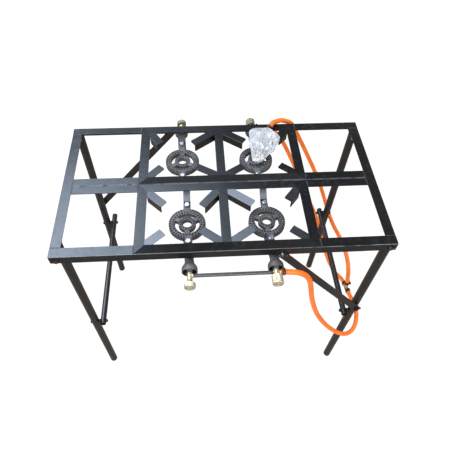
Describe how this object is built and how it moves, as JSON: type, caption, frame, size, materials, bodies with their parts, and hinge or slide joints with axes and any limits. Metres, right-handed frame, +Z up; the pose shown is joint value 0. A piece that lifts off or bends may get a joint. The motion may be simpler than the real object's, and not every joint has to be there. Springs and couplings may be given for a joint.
{
  "type": "portable gas stove",
  "caption": "Free-standing burner table: welded angle-iron top with ring burners between two open side bays, folding tube legs, diagonal braces and rubber gas hoses to a bagged regulator.",
  "frame": {"origin": "on the floor under the middle of the top frame", "axes": "+X to the right, +Y to the back, +Z up from the floor"},
  "size_m": [0.946, 0.632, 0.8492],
  "materials": {
    "frame_enamel": "gloss",
    "leg_enamel": "gloss",
    "cast_iron": "rough",
    "zinc_steel": "satin",
    "brass": "satin",
    "manifold_steel": "satin",
    "knob_plastic": "matte",
    "hose_rubber": "satin",
    "clamp_steel": "satin",
    "regulator_alloy": "satin",
    "bag_film": "clear film"
  },
  "bodies": {
    "root": {"front_rail_left": "frame_enamel", "front_rail_centre": "frame_enamel", "front_rail_right": "frame_enamel", "back_rail_left": "frame_enamel", "back_rail_centre": "frame_enamel", "back_rail_right": "frame_enamel", "mid_rails_left": "frame_enamel", "mid_rails_centre": "frame_enamel", "mid_rails_right": "frame_enamel", "cross_bars_left": "frame_enamel", "cross_bars_centre": "frame_enamel", "cross_bars_right": "frame_enamel", "end_rail_left": "frame_enamel", "end_rail_right": "frame_enamel", "pan_supports_front_left": "frame_enamel", "burner_front_left": "cast_iron", "pan_supports_front_right": "frame_enamel", "burner_front_right": "cast_iron", "pan_supports_back_left": "frame_enamel", "burner_back_left": "cast_iron", "pan_supports_back_right": "frame_enamel", "burner_back_right": "cast_iron", "burner_brackets": "frame_enamel", "bracket_bolts": "zinc_steel", "frame_nuts": "zinc_steel", "frame_bolts": "zinc_steel", "leg_spacers": "zinc_steel", "wing_nuts": "zinc_steel", "gas_jets": "brass", "valve_bodies": "brass", "packing_nuts": "brass", "hose_barbs": "brass", "hose_tee": "brass", "manifold_front": "manifold_steel", "manifold_back": "manifold_steel", "hose_front": "hose_rubber", "hose_back": "hose_rubber", "hose_supply": "hose_rubber", "hose_clamps": "clamp_steel", "regulator_body": "regulator_alloy", "plastic_bag": "bag_film"},
    "left_legs": {"leg_front_left": "leg_enamel", "leg_back_left": "leg_enamel", "stretcher_left": "leg_enamel", "leg_bolts_left": "zinc_steel"},
    "right_legs": {"leg_front_right": "leg_enamel", "leg_back_right": "leg_enamel", "stretcher_right": "leg_enamel", "leg_bolts_right": "zinc_steel"},
    "front_brace": {"brace_front": "leg_enamel"},
    "back_brace": {"brace_back": "leg_enamel"},
    "knob_front_left_body": {"knob_front_left": "knob_plastic", "valve_stem_front_left": "brass"},
    "knob_front_right_body": {"knob_front_right": "knob_plastic", "valve_stem_front_right": "brass"},
    "knob_back_left_body": {"knob_back_left": "knob_plastic", "valve_stem_back_left": "brass"},
    "knob_back_right_body": {"knob_back_right": "knob_plastic", "valve_stem_back_right": "brass"},
    "hand_nut": {"regulator_wing_nut": "brass"}
  },
  "joints": [
    {"name": "left_leg_fold", "type": "hinge", "parent": "root", "child": "left_legs", "pos_m": [-0.4335, 0, 0.8035], "axis": [0, -1, 0], "range_deg": [0, 71]},
    {"name": "right_leg_fold", "type": "hinge", "parent": "root", "child": "right_legs", "pos_m": [0.4335, 0, 0.8035], "axis": [0, 1, 0], "range_deg": [0, 78]},
    {"name": "front_brace_swing", "type": "hinge", "parent": "root", "child": "front_brace", "pos_m": [0.146, -0.2418, 0.8025], "axis": [0, -1, 0], "range_deg": [0, 45]},
    {"name": "back_brace_swing", "type": "hinge", "parent": "root", "child": "back_brace", "pos_m": [-0.146, 0.2418, 0.8025], "axis": [0, 1, 0], "range_deg": [0, 45]},
    {"name": "front_left_knob_turn", "type": "hinge", "parent": "root", "child": "knob_front_left_body", "pos_m": [-0.097, -0.3, 0.77], "axis": [0, -1, 0], "range_deg": [0, 180]},
    {"name": "front_right_knob_turn", "type": "hinge", "parent": "root", "child": "knob_front_right_body", "pos_m": [0.129, -0.3, 0.77], "axis": [0, -1, 0], "range_deg": [0, 180]},
    {"name": "back_left_knob_turn", "type": "hinge", "parent": "root", "child": "knob_back_left_body", "pos_m": [-0.116, 0.3, 0.77], "axis": [0, 1, 0], "range_deg": [0, 180]},
    {"name": "back_right_knob_turn", "type": "hinge", "parent": "root", "child": "knob_back_right_body", "pos_m": [0.116, 0.3, 0.77], "axis": [0, 1, 0], "range_deg": [0, 180]},
    {"name": "hand_nut_turn", "type": "hinge", "parent": "root", "child": "hand_nut", "pos_m": [0.11652, 0.10243, 0.81276], "axis": [-0.4016, -0.8935, -0.2008], "continuous": true}
  ]
}
